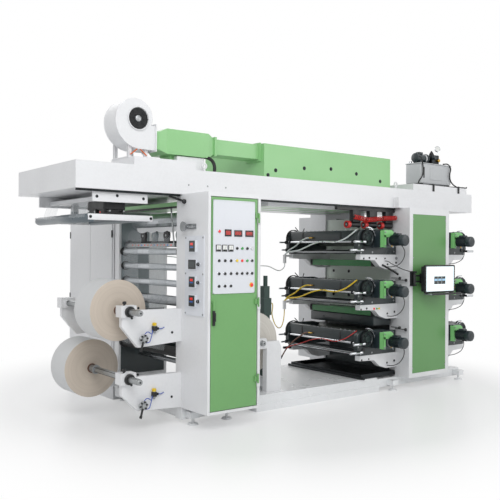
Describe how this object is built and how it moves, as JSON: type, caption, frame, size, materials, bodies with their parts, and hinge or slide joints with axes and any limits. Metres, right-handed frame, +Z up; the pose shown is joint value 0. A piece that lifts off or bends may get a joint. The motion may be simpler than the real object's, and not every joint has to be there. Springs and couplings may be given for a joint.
{
  "type": "flexographic printing press",
  "caption": "Stack-type flexographic press with reel unwinds, an overhead drying hood, a rewind on a deck plinth and a tower of colour print units.",
  "frame": {"origin": "centre of the footprint's box on the floor", "axes": "+X along the machine from the unwinds to the print tower, -Y the operator's side, +Z up"},
  "size_m": [5.7, 3.062, 3.135],
  "materials": {
    "white_paint": "satin off-white enamel",
    "green_paint": "satin mid-green enamel",
    "duct_green": "satin pale green enamel",
    "dark_green": "satin dark green enamel",
    "slate_paint": "dark slate enamel",
    "steel": "ground steel",
    "black_plastic": "matt black",
    "grey_paint": "light grey enamel",
    "paper": "wound reel ends",
    "panel_grey": "pale grey instrument panel",
    "yellow_plastic": "yellow air hose",
    "white_plastic": "milky air hose"
  },
  "bodies": {
    "press": {"base_frame": "white_paint", "left_front_frame": "white_paint", "left_rear_frame": "white_paint", "upper_front_arm": "white_paint", "upper_rear_arm": "white_paint", "lower_front_arm": "white_paint", "lower_rear_arm": "white_paint", "control_cabinet": "white_paint", "tension_panel": "panel_grey", "rear_cabinet": "white_paint", "overhead_beam": "white_paint", "left_blower": "white_paint", "air_duct": "duct_green", "dryer_hood": "duct_green", "right_blower": "white_paint", "power_pack": "grey_paint", "right_front_column": "white_paint", "front_cover": "green_paint", "right_rear_column": "white_paint", "drying_bar_1": "dark_green", "drying_bar_2": "dark_green", "rewind_stand": "white_paint", "web_guide": "grey_paint", "screen_bracket": "black_plastic", "guide_knobs": "grey_paint", "drip_tray": "slate_paint", "rewind_lift": "slate_paint", "air_cylinders": "black_plastic", "white_hose": "white_plastic", "yellow_hose": "yellow_plastic", "print_unit_1": "slate_paint", "print_unit_2": "slate_paint", "print_unit_3": "slate_paint", "print_unit_4": "slate_paint", "print_unit_5": "slate_paint", "print_unit_6": "slate_paint"},
    "door": {"cabinet_door": "green_paint", "instrument_panel": "panel_grey"},
    "screen": {"screen_arm": "black_plastic", "operator_screen": "panel_grey"},
    "upper_reel": {"upper_unwind_shaft": "steel", "upper_unwind_roll": "paper"},
    "lower_reel": {"lower_unwind_shaft": "steel", "lower_unwind_roll": "paper"},
    "rewind_reel": {"rewind_shaft": "steel", "rewind_roll": "paper"},
    "web_roller_1": {"web_roller_1": "steel"},
    "web_roller_2": {"web_roller_2": "steel"},
    "web_roller_3": {"web_roller_3": "steel"},
    "tension_roller": {"tension_roller": "steel"},
    "nip_roller": {"nip_roller": "steel"},
    "chill_roller": {"chill_roller": "steel"},
    "plate_cylinder_1": {"plate_cylinder_1": "steel"},
    "plate_cylinder_2": {"plate_cylinder_2": "steel"},
    "plate_cylinder_3": {"plate_cylinder_3": "steel"},
    "plate_cylinder_4": {"plate_cylinder_4": "steel"},
    "plate_cylinder_5": {"plate_cylinder_5": "steel"},
    "plate_cylinder_6": {"plate_cylinder_6": "steel"}
  },
  "joints": [
    {"name": "cabinet_door_hinge", "type": "hinge", "parent": "press", "child": "door", "pos_m": [-1.186, -1.519, 1.2], "axis": [0, 0, 1], "range_deg": [0, 110]},
    {"name": "screen_swivel", "type": "hinge", "parent": "press", "child": "screen", "pos_m": [1.378, -1.304, 1.35], "axis": [0, 0, 1], "range_deg": [-90, 0]},
    {"name": "upper_unwind_spin", "type": "hinge", "parent": "press", "child": "upper_reel", "pos_m": [-2.335, -0.884, 1.107], "axis": [0, 1, 0], "continuous": true},
    {"name": "lower_unwind_spin", "type": "hinge", "parent": "press", "child": "lower_reel", "pos_m": [-2.335, -0.329, 0.497], "axis": [0, 1, 0], "continuous": true},
    {"name": "rewind_spin", "type": "hinge", "parent": "press", "child": "rewind_reel", "pos_m": [-0.69, -0.829, 0.69], "axis": [0, 1, 0], "continuous": true},
    {"name": "web_roller_1_spin", "type": "hinge", "parent": "press", "child": "web_roller_1", "pos_m": [-1.7, -0.969, 1.656], "axis": [0, 1, 0], "continuous": true},
    {"name": "web_roller_2_spin", "type": "hinge", "parent": "press", "child": "web_roller_2", "pos_m": [-1.69, -0.969, 1.5], "axis": [0, 1, 0], "continuous": true},
    {"name": "web_roller_3_spin", "type": "hinge", "parent": "press", "child": "web_roller_3", "pos_m": [-1.68, -0.969, 1.338], "axis": [0, 1, 0], "continuous": true},
    {"name": "tension_roller_spin", "type": "hinge", "parent": "press", "child": "tension_roller", "pos_m": [-1.67, -0.969, 1.165], "axis": [0, 1, 0], "continuous": true},
    {"name": "nip_roller_spin", "type": "hinge", "parent": "press", "child": "nip_roller", "pos_m": [-1.69, -0.969, 0.665], "axis": [0, 1, 0], "continuous": true},
    {"name": "chill_roller_spin", "type": "hinge", "parent": "press", "child": "chill_roller", "pos_m": [-1.53, -0.969, 1.975], "axis": [0, 1, 0], "continuous": true},
    {"name": "plate_cylinder_1_spin", "type": "hinge", "parent": "press", "child": "plate_cylinder_1", "pos_m": [1.223, -1.009, 1.825], "axis": [0, 1, 0], "continuous": true},
    {"name": "plate_cylinder_2_spin", "type": "hinge", "parent": "press", "child": "plate_cylinder_2", "pos_m": [1.223, -1.009, 1.23], "axis": [0, 1, 0], "continuous": true},
    {"name": "plate_cylinder_3_spin", "type": "hinge", "parent": "press", "child": "plate_cylinder_3", "pos_m": [1.223, -1.009, 0.635], "axis": [0, 1, 0], "continuous": true},
    {"name": "plate_cylinder_4_spin", "type": "hinge", "parent": "press", "child": "plate_cylinder_4", "pos_m": [2.237, -1.009, 1.825], "axis": [0, 1, 0], "continuous": true},
    {"name": "plate_cylinder_5_spin", "type": "hinge", "parent": "press", "child": "plate_cylinder_5", "pos_m": [2.237, -1.009, 1.23], "axis": [0, 1, 0], "continuous": true},
    {"name": "plate_cylinder_6_spin", "type": "hinge", "parent": "press", "child": "plate_cylinder_6", "pos_m": [2.237, -1.009, 0.635], "axis": [0, 1, 0], "continuous": true}
  ]
}
